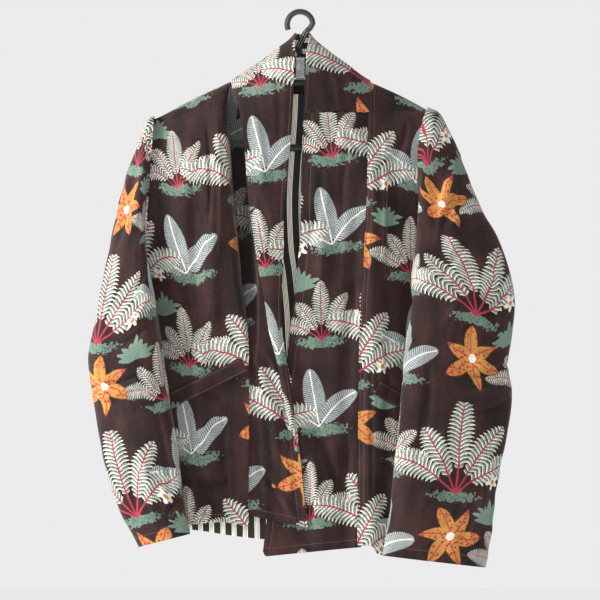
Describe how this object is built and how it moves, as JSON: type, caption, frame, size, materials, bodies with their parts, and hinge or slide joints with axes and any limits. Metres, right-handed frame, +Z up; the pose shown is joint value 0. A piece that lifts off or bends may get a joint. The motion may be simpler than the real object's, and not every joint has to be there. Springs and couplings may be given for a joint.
{
  "type": "velvet jacket on a clothes hanger",
  "caption": "Open-front velvet jacket with a band collar, slanting pockets and a striped lining, hanging on a plastic clothes hanger.",
  "frame": {"origin": "inner top of the hanger's hook, where a rail carries it", "axes": "+Z up, -Y towards the front of the jacket, +X towards the wearer's left"},
  "size_m": [0.5973, 0.1358, 0.782],
  "materials": {
    "velvet": "printed velvet, dark brown ground",
    "striped_lining": "woven cotton, cream and black stripes",
    "hanger_plastic": "satin black",
    "hub_plastic": "satin dark grey"
  },
  "bodies": {
    "root": {"back": "velvet", "front_right": "velvet", "front_left": "velvet", "band_right": "velvet", "band_left": "velvet", "collar_right": "velvet", "collar_left": "velvet", "sleeve_right": "velvet", "sleeve_left": "velvet", "pocket_welt_right": "velvet", "pocket_welt_left": "velvet", "back_lining": "striped_lining", "hanger_hook": "hanger_plastic", "hanger_frame": "hanger_plastic", "hanger_hub": "hub_plastic"}
  },
  "joints": []
}
